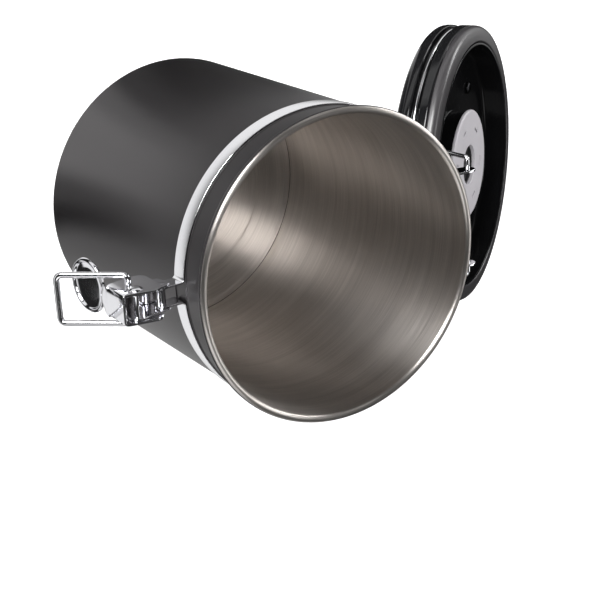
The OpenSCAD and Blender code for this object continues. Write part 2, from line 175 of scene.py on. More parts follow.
def tube(path, radius, sides=24):
    """Round wire along a path, with slightly rounded ends."""
    bm = bmesh.new()
    tangents = []
    for i in range(len(path)):
        a, b = path[max(i - 1, 0)], path[min(i + 1, len(path) - 1)]
        tangents.append((b - a).normalized())
    normal = tangents[0].orthogonal().normalized()
    rings = []
    nose = 0.25 * radius

    def ring(centre, normal, tangent, r):
        side = tangent.cross(normal)
        turn = [2 * math.pi * k / sides for k in range(sides)]
        return [bm.verts.new(centre + r * (math.cos(a) * normal + math.sin(a) * side)) for a in turn]

    rings.append(ring(path[0], normal, tangents[0], radius - nose))
    rings.append(ring(path[0] + tangents[0] * nose, normal, tangents[0], radius))
    for i in range(1, len(path) - 1):
        normal = (normal - normal.dot(tangents[i]) * tangents[i]).normalized()
        rings.append(ring(path[i], normal, tangents[i], radius))
    normal = (normal - normal.dot(tangents[-1]) * tangents[-1]).normalized()
    rings.append(ring(path[-1] - tangents[-1] * nose, normal, tangents[-1], radius))
    rings.append(ring(path[-1], normal, tangents[-1], radius - nose))
    for low, high in zip(rings, rings[1:]):
        for k in range(sides):
            n = (k + 1) % sides
            bm.faces.new([low[k], low[n], high[n], high[k]])
    bm.faces.new(rings[0])
    bm.faces.new(rings[-1])
    bmesh.ops.recalc_face_normals(bm, faces=bm.faces)
    return bm


def strip(path, heights, thickness):
    """Sheet metal standing on edge: a plan path of (x, y), and its low and high z at each point."""
    bm = bmesh.new()
    rows = []
    for i, p in enumerate(path):
        a, b = path[max(i - 1, 0)], path[min(i + 1, len(path) - 1)]
        along = (b - a).normalized()
        side = Vector((-along.y, along.x)) * thickness / 2
        low, high = heights[i]
        corners = [(p - side, low), (p + side, low), (p + side, high), (p - side, high)]
        rows.append([bm.verts.new((q.x, q.y, z)) for q, z in corners])
    for first, second in zip(rows, rows[1:]):
        for k in range(4):
            n = (k + 1) % 4
            bm.faces.new([first[k], first[n], second[n], second[k]])
    bm.faces.new(rows[0])
    bm.faces.new(rows[-1])
    bmesh.ops.recalc_face_normals(bm, faces=bm.faces)
    return bm


def plate(outline, x_low, x_high, to_space):
    """Flat plate between two x values, its outline given in the plane that to_space maps."""
    bm = bmesh.new()
    near = [bm.verts.new(to_space(x_low, p)) for p in outline]
    far = [bm.verts.new(to_space(x_high, p)) for p in outline]
    bm.faces.new(near)
    bm.faces.new(far)
    for k in range(len(outline)):
        n = (k + 1) % len(outline)
        bm.faces.new([near[k], near[n], far[n], far[k]])
    bmesh.ops.recalc_face_normals(bm, faces=bm.faces)
    return bm


def joined(*parts):
    """One bmesh out of several."""
    whole = bmesh.new()
    for part in parts:
        scratch = bpy.data.meshes.new("scratch")
        part.to_mesh(scratch)
        part.free()
        whole.from_mesh(scratch)
        bpy.data.meshes.remove(scratch)
    return whole


def moved(bm, matrix):
    bmesh.ops.transform(bm, matrix=matrix, verts=bm.verts)
    return bm


def piece(name, bm, material, body, slot, stands_for=(), bevel_mm=0, weighted=True):
    """A finished object from a bmesh in mm: scaled, smoothed, given its finish and its body."""
    bmesh.ops.transform(bm, matrix=Matrix.Scale(MM, 4), verts=bm.verts)
    mesh = bpy.data.meshes.new(name)
    bm.to_mesh(mesh)
    bm.free()
    mesh.shade_smooth()
    mesh.materials.append(material)
    thing = bpy.data.objects.new(name, mesh)
    bpy.context.scene.collection.objects.link(thing)
    if bevel_mm:
        bevel = thing.modifiers.new("edge", "BEVEL")
        bevel.width = bevel_mm * MM
        bevel.segments = 3
        bevel.limit_method = "ANGLE"
        bevel.angle_limit = math.radians(35)
    if weighted:
        normals = thing.modifiers.new("normals", "WEIGHTED_NORMAL")
        normals.mode = "FACE_AREA"
        normals.weight = 80
    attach(thing, body)
    if stands_for:
        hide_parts(*stands_for)
    return thing


# ---------------------------------------------------------------- materials

def new_material(name):
    made = bpy.data.materials.new(name)
    made.use_nodes = True
    shader = made.node_tree.nodes["Principled BSDF"]
    return made, made.node_tree, shader


def add(tree, kind, **settings):
    node = tree.nodes.new(kind)
    for key, value in settings.items():
        setattr(node, key, value)
    return node


def noise(tree, vector, scale, detail=4.0, rough=0.55):
    node = add(tree, "ShaderNodeTexNoise")
    node.inputs["Scale"].default_value = scale
    node.inputs["Detail"].default_value = detail
    node.inputs["Roughness"].default_value = rough
    tree.links.new(vector, node.inputs["Vector"])
    return node.outputs["Fac"]


def ramp(tree, value, low, high):
    """Maps a 0 to 1 value to the range low to high."""
    node = add(tree, "ShaderNodeMapRange")
    node.inputs["To Min"].default_value = low
    node.inputs["To Max"].default_value = high
    tree.links.new(value, node.inputs["Value"])
    return node.outputs["Result"]


def blend_colours(tree, value, dark, light):
    node = add(tree, "ShaderNodeMix", data_type="RGBA")
    node.inputs["A"].default_value = (*dark, 1)
    node.inputs["B"].default_value = (*light, 1)
    tree.links.new(value, node.inputs["Factor"])
    return node.outputs["Result"]


def bump(tree, shader, height, strength, distance):
    node = add(tree, "ShaderNodeBump")
    node.inputs["Strength"].default_value = strength
    node.inputs["Distance"].default_value = distance
    tree.links.new(height, node.inputs["Height"])
    tree.links.new(node.outputs["Normal"], shader.inputs["Normal"])


def place_of(tree):
    return add(tree, "ShaderNodeTexCoord").outputs["Object"]


def scaled(tree, vector, scale):
    node = add(tree, "ShaderNodeMapping")
    node.inputs["Scale"].default_value = scale
    tree.links.new(vector, node.inputs["Vector"])
    return node.outputs["Vector"]


def math_node(tree, operation, a, b=None):
    node = add(tree, "ShaderNodeMath", operation=operation)
    for socket, value in zip(node.inputs, (a, b)):
        if value is None:
            continue
        if isinstance(value, (int, float)):
            socket.default_value = value
        else:
            tree.links.new(value, socket)
    return node.outputs["Value"]


def times(tree, a, b):
    return math_node(tree, "MULTIPLY", a, b)


def round_axis(tree, vector):
    """Radius, angle and height of a point about the object's Z axis."""
    split = add(tree, "ShaderNodeSeparateXYZ")
    tree.links.new(vector, split.inputs["Vector"])
    x, y, z = (split.outputs[a] for a in "XYZ")
    squares = math_node(tree, "ADD", times(tree, x, x), times(tree, y, y))
    return math_node(tree, "SQRT", squares), math_node(tree, "ARCTAN2", y, x), z


def combined(tree, x, y, z):
    node = add(tree, "ShaderNodeCombineXYZ")
    for socket, value in zip(node.inputs, (x, y, z)):
        if isinstance(value, (int, float)):
            socket.default_value = value
        else:
            tree.links.new(value, socket)
    return node.outputs["Vector"]


def edge_wear(tree, radius=0.0006):
    """1 on convex edges and 0 elsewhere."""
    bevel = add(tree, "ShaderNodeBevel", samples=4)
    bevel.inputs["Radius"].default_value = radius
    geometry = add(tree, "ShaderNodeNewGeometry")
    dot = add(tree, "ShaderNodeVectorMath", operation="DOT_PRODUCT")
    tree.links.new(bevel.outputs["Normal"], dot.inputs[0])
    tree.links.new(geometry.outputs["Normal"], dot.inputs[1])
    node = add(tree, "ShaderNodeMapRange")
    node.inputs["From Min"].default_value = 1.0
    node.inputs["From Max"].default_value = 0.8
    tree.links.new(dot.outputs["Value"], node.inputs["Value"])
    return node.outputs["Result"]


def coated_black():
    """Baked-on satin coating: fine orange peel, faint cloudiness, edges rubbed a little lighter."""
    made, tree, shader = new_material("coated_black")
    spot = place_of(tree)
    cloud = noise(tree, spot, 14, 3)
    grain = noise(tree, spot, 2600, 2, 0.6)
    worn = times(tree, edge_wear(tree), 0.35)
    base = blend_colours(tree, cloud, (0.0085, 0.0078, 0.0084), (0.0125, 0.0115, 0.0120))
    mix = add(tree, "ShaderNodeMix", data_type="RGBA")
    tree.links.new(worn, mix.inputs["Factor"])
    tree.links.new(base, mix.inputs["A"])
    mix.inputs["B"].default_value = (0.04, 0.038, 0.038, 1)
    tree.links.new(mix.outputs["Result"], shader.inputs["Base Color"])
    rough = math_node(tree, "ADD", ramp(tree, cloud, 0.30, 0.37), ramp(tree, grain, -0.02, 0.03))
    tree.links.new(rough, shader.inputs["Roughness"])
    shader.inputs["Specular IOR Level"].default_value = 0.64
    shader.inputs["Specular Tint"].default_value = (1.0, 0.94, 0.96, 1)
    bump(tree, shader, grain, 0.12, 0.00002)
    return made


def brushed_steel(name, tint=(0.60, 0.565, 0.535)):
    """Bare steel brushed round the can's axis: fine rings of light and dark, a few deeper marks."""
    made, tree, shader = new_material(name)
    radius, angle, z = round_axis(tree, place_of(tree))
    across = math_node(tree, "ADD", z, radius)
    lines = combined(tree, times(tree, across, 2600), times(tree, angle, 1.6), 0)
    broad = combined(tree, times(tree, across, 240), times(tree, angle, 0.7), 3)
    fine = noise(tree, lines, 1.0, 3, 0.65)
    bands = noise(tree, broad, 1.0, 2)
    both = math_node(tree, "ADD", times(tree, fine, 0.6), times(tree, bands, 0.4))
    dark = tuple(c * 0.45 for c in tint)
    light = tuple(min(c * 1.5, 1) for c in tint)
    tree.links.new(blend_colours(tree, both, dark, light), shader.inputs["Base Color"])
    shader.inputs["Metallic"].default_value = 1.0
    tree.links.new(ramp(tree, both, 0.26, 0.44), shader.inputs["Roughness"])
    shader.inputs["Anisotropic"].default_value = 0.75
    shader.inputs["Anisotropic Rotation"].default_value = 0.25
    tangent = add(tree, "ShaderNodeTangent", direction_type="RADIAL", axis="Z")
    tree.links.new(tangent.outputs["Tangent"], shader.inputs["Tangent"])
    bump(tree, shader, both, 0.25, 0.00002)
    return made


def chrome(name, tint=(0.86, 0.86, 0.88)):
    """Bright plating with faint smears and hairline wiping marks."""
    made, tree, shader = new_material(name)
    spot = place_of(tree)
    smear = noise(tree, spot, 120, 3)
    hair = noise(tree, scaled(tree, spot, (300, 4200, 900)), 1.0, 2, 0.7)
    tone = blend_colours(tree, smear, tuple(c * 0.93 for c in tint), tint)
    tree.links.new(tone, shader.inputs["Base Color"])
    shader.inputs["Metallic"].default_value = 1.0
    rough = math_node(tree, "ADD", ramp(tree, smear, 0.03, 0.10), ramp(tree, hair, 0.0, 0.03))
    tree.links.new(rough, shader.inputs["Roughness"])
    bump(tree, shader, hair, 0.05, 0.000008)
    return made


def plastic(name, dark, light, rough, grain_scale, grain_depth, grain_strength, coat=0.0, shine=0.5):
    """Moulded plastic or rubber: cloudiness, a fine surface grain and a slight lightening on edges."""
    made, tree, shader = new_material(name)
    spot = place_of(tree)
    cloud = noise(tree, spot, 40, 3)
    grain = noise(tree, spot, grain_scale, 3, 0.6)
    base = blend_colours(tree, cloud, dark, light)
    mix = add(tree, "ShaderNodeMix", data_type="RGBA")
    tree.links.new(times(tree, edge_wear(tree, 0.0004), 0.3), mix.inputs["Factor"])
    tree.links.new(base, mix.inputs["A"])
    mix.inputs["B"].default_value = (*(min(c * 2.2 + 0.01, 1) for c in light), 1)
    tree.links.new(mix.outputs["Result"], shader.inputs["Base Color"])
    tree.links.new(ramp(tree, cloud, *rough), shader.inputs["Roughness"])
    shader.inputs["Specular IOR Level"].default_value = shine
    shader.inputs["Coat Weight"].default_value = coat
    shader.inputs["Coat Roughness"].default_value = 0.04
    bump(tree, shader, grain, grain_strength, grain_depth)
    return made


def felt():
    """Pale pressed fibre, rough and a little fuzzy."""
    made, tree, shader = new_material("filter_felt")
    spot = place_of(tree)
    fibre = noise(tree, spot, 1800, 6, 0.8)
    tone = blend_colours(tree, fibre, (0.50, 0.47, 0.40), (0.78, 0.76, 0.70))
    tree.links.new(tone, shader.inputs["Base Color"])
    shader.inputs["Roughness"].default_value = 0.95
    shader.inputs["Sheen Weight"].default_value = 0.3
    bump(tree, shader, fibre, 0.8, 0.0002)
    return made


COATING = coated_black()
STEEL = brushed_steel("brushed_steel")
# Screw steel tinted near black: painted shade, so the screws read as dark as the hollow they sit in.
SCREW_PAINTED_SHADE = brushed_steel("screw_steel", (0.022, 0.022, 0.024))
CHROME = chrome("chrome_band")
BRIGHT = chrome("chrome_latch", (0.83, 0.83, 0.86))
WIRE = chrome("chrome_wire", (0.90, 0.90, 0.92))
GLOSS = plastic("gloss_black", (0.006, 0.006, 0.0065), (0.010, 0.010, 0.011),
                (0.05, 0.11), 900, 0.00001, 0.05, coat=0.1, shine=0.4)
LINER = plastic("liner_black", (0.0035, 0.0035, 0.004), (0.006, 0.006, 0.0065),
                (0.08, 0.16), 900, 0.00001, 0.05, shine=0.2)
RUBBER = plastic("gasket_black", (0.036, 0.034, 0.036), (0.048, 0.045, 0.048),
                 (0.28, 0.36), 2200, 0.00003, 0.15, shine=0.9)
GREY = plastic("valve_grey", (0.52, 0.50, 0.53), (0.58, 0.56, 0.59), (0.38, 0.5), 2600, 0.00002, 0.12)
DARK = plastic("valve_black", (0.010, 0.010, 0.011), (0.016, 0.016, 0.017), (0.35, 0.5), 2000, 0.00002, 0.15)
FLAP = plastic("flap_rubber", (0.016, 0.016, 0.016), (0.024, 0.024, 0.024), (0.45, 0.6), 1800, 0.00003, 0.2)
DIAL = plastic("dial_black", (0.016, 0.016, 0.017), (0.024, 0.024, 0.025), (0.30, 0.42), 2400, 0.00003, 0.2)
PRINT = plastic("dial_print", (0.62, 0.62, 0.62), (0.70, 0.70, 0.70), (0.4, 0.5), 2400, 0.00001, 0.1)
FELT = felt()


# ---------------------------------------------------------------- the can

TOP = box_mm("can_body")[1]
RIM_R = TOP.x
ROLL_R = 1.55
ROLL = (RIM_R - ROLL_R, TOP.z - ROLL_R)
WALL_R = 60.0
INNER_R = 59.2
SKIN = 0.35
BAND_Z = (110.8, 118.1)
BAND_R = (59.7, 60.5)


def can_wall():
    """Coated outside of the can, from the foot up and round the underside of the rolled rim."""
    low, high = BAND_Z
    seat = BAND_R[0] - 0.02
    outline = [
        (WALL_R - SKIN - 0.3, 0.25, 0), (WALL_R - 1.1, 0.02, 0.3), (WALL_R, 0.9, 0.8),
        (WALL_R, low - 0.35, 0.12), (seat, low - 0.3, 0.1), (seat, high + 0.3, 0.1),
        (WALL_R, high + 0.35, 0.15), (WALL_R + 0.22, high + 0.9, 0.35), (WALL_R, high + 1.6, 0.4),
    ]
    outline += arc(ROLL, ROLL_R, 237, 393, 16)
    outline += arc(ROLL, ROLL_R - SKIN, 393, 225, 16)
    outline += [(WALL_R - SKIN - 0.3, ROLL[1] - 3, 0)]
    piece("can_wall", lathe(rounded(outline), FINE_ROUND), COATING, "can", "body_paint", ["can_body"])


def can_lining():
    """Bare brushed inside of the can and the bare top of its rolled rim."""
    outline = [(INNER_R, 3.3, 0)]
    outline += [(INNER_R, ROLL[1] - 2.2, 0)]
    outline += arc(ROLL, ROLL_R, 180, 33, 18)
    outline += arc(ROLL, ROLL_R - SKIN, 33, 200, 14)
    outline += [(WALL_R - SKIN - 0.35, ROLL[1] - 3, 0), (WALL_R - SKIN - 0.35, 3.3, 0)]
    piece("can_lining", lathe(rounded(outline), FINE_ROUND), STEEL, "can", "inner_steel", ["can_body"])


def can_floor():
    """Pressed bottom with a stiffening step, turned down into the foot."""
    _, r, low, high = measured("base_plate")
    outline = [
        (0, low, 0), (r - 4.2, low, 0.8), (r - 2.4, 0.03, 0.5), (r, 0.03, 0.4), (r, high, 0.3),
        (r - 2, high, 0.5), (r - 3, high - 0.25, 0.5), (42, high - 0.25, 0.5), (41, high, 0.5), (0, high, 0),
    ]
    piece("can_floor", lathe(rounded(outline)), STEEL, "can", "inner_steel", ["base_plate", "base_ring"])


def latch_points():
    out = []
    for name in ("link_hinge", "lever_pivot", "bail_pivot"):
        p = joint_point(name)
        out.append(Vector((-p.y, p.z)))
    return out


PIN_1, PIN_2, BAIL_PIVOT = latch_points()
EAR_X = 3.8
EAR_R = 3.2
LINK_X = (4.35, 5.05)
CHEEK_X = (5.2, 6.1)
WEB_S = PIN_2.x + 6.9 - 0.45
PAD_AT = (PIN_2.x + 4.4, PIN_2.y - 30.8)


def neck_band():
    """Polished strip round the neck, its ends bent out as ears for the latch pin."""
    mid_r = sum(BAND_R) / 2
    gap = math.asin((EAR_X + 1.0) / mid_r)
    plan = []
    heights = []
    for s in [PIN_1.x + EAR_R - 0.02, PIN_1.x + 3.0, PIN_1.x + 2.6, PIN_1.x + 2.0, PIN_1.x + 1.0,
              PIN_1.x, PIN_1.x - 2.0, PIN_1.x - 4.5, mid_r + 1.6]:
        plan.append(Vector((EAR_X, -s)))
        past = max(s - PIN_1.x, 0)
        half = math.sqrt(max(EAR_R ** 2 - past ** 2, 0.01))
        share = min(max((PIN_1.x - s) / 6.0, 0), 1)
        heights.append((
            (PIN_1.y - half) * (1 - share) + BAND_Z[0] * share,
            (PIN_1.y + half) * (1 - share) + BAND_Z[1] * share,
        ))
    bend = [Vector((EAR_X + 0.12, -mid_r - 0.9)), Vector((EAR_X + 0.45, -mid_r - 0.3)),
            Vector((EAR_X + 1.0, -mid_r * math.cos(gap) - 0.08))]
    plan += bend
    heights += [BAND_Z] * len(bend)
    turns = 180
    first, last = -math.pi / 2 + gap + 0.01, 3 * math.pi / 2 - gap - 0.01
    for k in range(turns + 1):
        a = first + (last - first) * k / turns
        plan.append(Vector((mid_r * math.cos(a), mid_r * math.sin(a))))
        heights.append(BAND_Z)
    for p, h in list(zip(plan, heights))[:len(plan) - turns - 1][::-1]:
        plan.append(Vector((-p.x, p.y)))
        heights.append(h)
    bm = strip(plan, heights, BAND_R[1] - BAND_R[0])
    piece("band_strip", bm, CHROME, "can", "chrome_band", ["neck_band"], bevel_mm=0.22)


def back_bracket():
    """Curved plate and two ears at the back of the band."""
    inner_r = 60.55
    thick = 1.0
    ear_x = HINGE_WIRE_X - HINGE_EAR_IN - 0.7
    span = math.asin(ear_x / inner_r)
    plan = [Vector((-ear_x, HINGE.y + past)) for past in (3.1, 2.4, 1.2, 0, -3, -8)]
    root = inner_r * math.cos(span)
    plan += [Vector((-ear_x, root + 2.6)), Vector((-ear_x + 0.35, root + 1.5))]
    heights = []
    for p in plan:
        past = max(p.y - HINGE.y, 0)
        half = math.sqrt(max(EAR_R ** 2 - past ** 2, 0.3))
        share = min(max((HINGE.y - p.y) / 9, 0), 1)
        heights.append(((HINGE.z - half) * (1 - share) + BAND_Z[0] * share,
                        (HINGE.z + half) * (1 - share) + BAND_Z[1] * share))
    count = len(plan)
    for k in range(25):
        a = math.pi / 2 + span * (0.93 - 1.86 * k / 24)
        r = inner_r + thick / 2
        plan.append(Vector((r * math.cos(a), r * math.sin(a))))
        heights.append(BAND_Z)
    for p, h in list(zip(plan[:count], heights[:count]))[::-1]:
        plan.append(Vector((-p.x, p.y)))
        heights.append(h)
    bm = strip(plan, heights, thick)
    piece("back_bracket", bm, CHROME, "can", "chrome_band", ["hinge_bracket"], bevel_mm=0.22)


# ---------------------------------------------------------------- the latch

def side_space(x, p):
    """Latch side view: distance out from the can axis, and height, at a given x."""
    return Vector((x, -p[0], p[1]))


def cross_rod(at, outline):
    """Turned part whose axis runs along X through a latch point."""
    bm = lathe(outline, 48)
    return moved(bm, Matrix.Translation(side_space(0, at)) @ Matrix.Rotation(math.pi / 2, 4, "Y"))


def domed_pin(half, radius, head_radius, head_height):
    """Outline of a shank between two domed heads, or of a plain rounded pin."""
    if head_radius <= radius:
        side = [(radius, half, 0.25), (radius, -half, 0.25)]
        return rounded([(0, half, 0)] + side + [(0, -half, 0)])
    top = [(0, half + head_height, 0), (head_radius * 0.6, half + head_height * 0.86, 0.6),
           (head_radius, half + 0.25, 0.4), (head_radius, half, 0.05), (radius, half, 0)]
    low = [(r, -z, f) for r, z, f in reversed(top)]
    return rounded(top + low)


def latch_pin_piece():
    """Plain pin through the band's ears and the link."""
    bm = cross_rod(PIN_1, domed_pin(LINK_X[1] + 0.05, 1.5, 0, 0))
    piece("link_pin", bm, BRIGHT, "can", "chrome_latch", ["latch_pin"])


def link_channel():
    """Short channel between the two pins: two rounded flanges and a floor."""
    along = (PIN_2 - PIN_1).normalized()
    down = Vector((along.y, -along.x))
    floor = 5.4
    corners = [
        PIN_1 - along * 3.0 + down * 0.5, PIN_1 - along * 2.6 + down * floor,
        PIN_2 + along * 1.5 + down * floor,
        PIN_2 + along * 3.2 + down * 0.6, PIN_2 + along * 3.1 - down * 1.8, PIN_2 + along * 0.8 - down * 3.2,
        PIN_1 - along * 0.8 - down * 3.2, PIN_1 - along * 3.1 - down * 1.8,
    ]
    outline = rounded([(p.x, p.y, 1.4) for p in corners], 5)
    parts = [plate(outline, m * LINK_X[0], m * LINK_X[1], side_space) for m in (-1, 1)]
    a, b = PIN_1 - along * 1.4 + down * floor, PIN_2 + along * 1.4 + down * floor
    lift = -down * 0.7
    web = [a, b, b + lift, a + lift]
    parts.append(plate(web, -LINK_X[1] + 0.15, LINK_X[1] - 0.15, side_space))
    piece("link_channel", joined(*parts), BRIGHT, "link", "chrome_latch", ["latch_link"], bevel_mm=0.18)


def lever_rivet_piece():
    """Rivet with a domed head outside each cheek."""
    bm = cross_rod(PIN_2, domed_pin(CHEEK_X[1], 1.1, 2.8, 1.15))
    piece("link_rivet", bm, BRIGHT, "lever", "chrome_latch", ["lever_rivet"])


def lever_channel():
    """Cheeks and web of the thumb lever, folded from one strip."""
    web_s = WEB_S
    x = sum(CHEEK_X) / 2
    top_out, top_in = PIN_2.y + 3.2, PIN_2.y + 5.2
    edge = PIN_2.x - 9.8
    low_in = PIN_2.y - 13.2

    def span(s):
        """Low and high edge of a cheek at a distance s from the can axis."""
        share = (web_s - s) / (web_s - edge)
        high = top_out + (top_in - top_out) * min(share * 1.35, 1)
        low = PIN_2.y - 11 + (low_in - PIN_2.y + 11) * min(share * 1.7, 1)
        near = s - edge
        if near < 4.6:
            high -= 4.6 - math.sqrt(max(4.6 ** 2 - (4.6 - near) ** 2, 0))
        if near < 3.8:
            low += 3.8 - math.sqrt(max(3.8 ** 2 - (3.8 - near) ** 2, 0))
        return low, high

    steps = [0.02, 0.12, 0.35, 0.8, 1.4, 2.1, 3.0, 4.0, 5.2, 7.0, 9.0, 11.0, 13.0, 14.6]
    plan = [Vector((x, -(edge + d))) for d in steps]
    heights = [span(edge + d) for d in steps]
    fold = 1.3
    for k in range(1, 6):
        a = math.radians(90 * k / 6)
        plan.append(Vector((x - fold + fold * math.cos(a), -(web_s - fold + fold * math.sin(a)))))
        heights.append(span(web_s))
    for across in (0.78, 0.5, 0.2):
        plan.append(Vector((x * across, -web_s)))
        heights.append(span(web_s))
    plan += [Vector((-p.x, p.y)) for p in reversed(plan)]
    heights += list(reversed(heights))
    return strip(plan, heights, CHEEK_X[1] - CHEEK_X[0])


def lever_tongue():
    """Neck of the lever: a curved tongue that narrows from the web and widens into the pad."""
    web_s = WEB_S
    thick = CHEEK_X[1] - CHEEK_X[0]
    stations = [
        (web_s, PIN_2.y - 9.5, 5.9, 0.0), (web_s + 0.05, PIN_2.y - 11.5, 5.6, 0.0),
        (web_s - 0.3, PIN_2.y - 13.5, 4.6, 0.4),
        (web_s - 1.1, PIN_2.y - 15.5, 3.9, 0.9), (web_s - 2.0, PIN_2.y - 17.5, 4.1, 1.1),
        (web_s - 2.8, PIN_2.y - 19.5, 5.2, 0.9), (PAD_AT[0] - 1.0, PIN_2.y - 21.6, 6.4, 0.3),
    ]
    bm = bmesh.new()
    rows = []
    across = 8
    for s, z, half, crown in stations:
        front, back = [], []
        for k in range(across + 1):
            t = -1 + 2 * k / across
            rise = crown * (1 - t * t)
            front.append(bm.verts.new(side_space(half * t, (s + thick / 2 + rise, z))))
            back.append(bm.verts.new(side_space(half * t, (s - thick / 2 + rise, z))))
        rows.append(front + back[::-1])
    size = len(rows[0])
    for low, high in zip(rows, rows[1:]):
        for k in range(size):
            n = (k + 1) % size
            bm.faces.new([low[k], low[n], high[n], high[k]])
    bm.faces.new(rows[0])
    bm.faces.new(rows[-1])
    bmesh.ops.recalc_face_normals(bm, faces=bm.faces)
    return bm


PAD_R = 10.8
PAD_TILT = math.radians(-8)


def thumb_pad():
    """Round dished pad with a rolled edge."""
    rim = 0.9
    outline = [(0, -1.4, 0), (4.0, -1.38, 1.5), (7.6, -1.05, 1.5), (PAD_R - rim - 0.1, -0.75, 0.4)]
    outline += arc((PAD_R - rim, 0), rim, -90, 170, 12)
    outline += [(PAD_R - 2.2 * rim, -0.05, 0.5), (7.0, -0.42, 1.5), (4.0, -0.52, 1.5), (0, -0.55, 0)]
    bm = lathe(rounded(outline), 96)
    return moved(bm, Matrix.Translation(side_space(0, PAD_AT)) @ Matrix.Rotation(math.pi / 2 + PAD_TILT, 4, "X"))


def lever():
    bm = joined(lever_channel(), lever_tongue(), thumb_pad())
    piece("thumb_lever", bm, BRIGHT, "lever", "chrome_latch", ["latch_lever"], bevel_mm=0.2)


def bail():
    """Square wire loop, its ends turned in through the cheeks."""
    low, high = box_mm("bail_wire")
    wire_r = 1.2
    x = high.x - wire_r
    end = Vector((-low.y - wire_r, low.z + wire_r))
    inner = CHEEK_X[0] + 0.05
    far = [side_space(m * x, end) for m in (1, -1)]
    near = [side_space(m * x, BAIL_PIVOT) for m in (1, -1)]
    points = [side_space(inner, BAIL_PIVOT), near[0], far[0], far[1], near[1], side_space(-inner, BAIL_PIVOT)]
    path = bent_path(points, 2.6, 8)
    piece("bail_loop", tube(path, wire_r, 28), WIRE, "bail", "chrome_wire", ["bail_wire"], weighted=False)


# ---------------------------------------------------------------- the lid, in its own frame

HINGE_WIRE_X = 25.6
HINGE_EAR_IN = 4.6
LID_R = in_lid("lid_gasket")[1]
LID_H = in_lid("lid_cover")[3]
GASKET_H = in_lid("lid_gasket")[3]
LIP_R = in_lid("lid_gasket")[0] - 0.05
RECESS_R = LIP_R - 1.1
WIRE_H = 11.1
WIRE_R = 0.9
WIRE_SEAT_R = 1.2
GROOVE = (9.2, 13.2)
GROOVE_R = LID_R - 2.8
SKIRT_IN_R = 56.9
DECK = (14.7, 16.7)
DIAL_R = in_lid("day_dial")[1]
DIAL_Z = in_lid("day_dial")[2:]
MONTH_R = in_lid("month_dial")[1]
CAP_R = in_lid("dial_cap")[1]
VALVE_R = in_lid("valve_cover")[1]
VALVE_Z = in_lid("valve_cover")[2:]
VALVE_HOLE = in_lid("valve_cover")[0]
HOLLOW = 12.0
SCREW_RING = 41.0


def lid_piece(name, bm, material, slot, stands_for=(), body="lid", **settings):
    return piece(name, moved(bm, OPEN), material, body, slot, stands_for, **settings)


def lid_shell():
    """Glossy top shell with the wire groove and the sunk deck."""
    edge = 5.0
    outline = [
        (SKIRT_IN_R, GASKET_H + 0.08, 0.2), (LID_R - 0.25, GASKET_H + 0.08, 0.25), (LID_R, GASKET_H + 0.7, 0.4),
        (LID_R, GROOVE[0], 0.5), (GROOVE_R, GROOVE[0], 0.5),
        (GROOVE_R, GROOVE[1], 0.5), (LID_R, GROOVE[1], 0.6),
    ]
    outline += arc((LID_R - edge, LID_H - edge), edge, 0, 90, 14)
    outline += [
        (DIAL_R + 1.4, LID_H, 0.4), (DIAL_R + 0.3, LID_H - 0.5, 0.3), (DIAL_R + 0.3, DECK[1], 0.3),
        (0, DECK[1], 0), (0, DECK[0], 0), (GROOVE_R - 2, DECK[0], 0.8), (GROOVE_R - 2, 7.4, 0.4),
        (SKIRT_IN_R, 7.4, 0.4),
    ]
    stands_for = ["lid_cover", "lid_skirt", "lid_deck"]
    lid_piece("lid_shell", lathe(rounded(outline, 5), FINE_ROUND), GLOSS, "lid_gloss_black", stands_for)


def lid_underside():
    """Glossy moulded underside: lip, deep hollow with a rounded floor, and the valve's collar."""
    collar_r = VALVE_R - 1.5
    outline = [
        (RECESS_R, 0.0, 0.3), (LIP_R, 0.0, 0.3), (LIP_R, 3.2, 0.1), (57.0, 3.2, 0), (57.0, 5.8, 0),
        (RECESS_R + 1.8, 5.8, 0.3), (RECESS_R + 1.8, 13.4, 0.6), (18, 13.4, 0.2), (18, HOLLOW, 0.2),
        (collar_r - 1.8, HOLLOW, 0.3), (collar_r - 1.8, VALVE_Z[1], 0), (collar_r, VALVE_Z[1], 0.2),
        (collar_r, HOLLOW, 1.2), (RECESS_R, HOLLOW, 2.4),
    ]
    stands_for = ["lid_liner", "liner_plate", "valve_collar"]
    lid_piece("lid_underside", lathe(rounded(outline, 5), FINE_ROUND), LINER, "lid_gloss_black", stands_for)


def sealing_ring():
    """Satin ring whose broad face slopes out to a rounded edge."""
    in_r = LIP_R + 0.35
    outline = [
        (in_r, 0.3, 0.3), (in_r + 0.5, 0.0, 0.4), (LID_R - 3.6, 0.12, 2.5), (LID_R - 0.9, 0.75, 1.2),
        (LID_R, 2.4, 1.3), (LID_R, GASKET_H - 0.5, 0.2), (LID_R - 0.3, GASKET_H, 0.2),
        (57.1, GASKET_H, 0), (57.1, 3.15, 0), (in_r, 3.15, 0),
    ]
    lid_piece("sealing_ring", lathe(rounded(outline, 6), FINE_ROUND), RUBBER, "gasket_black", ["lid_gasket"])


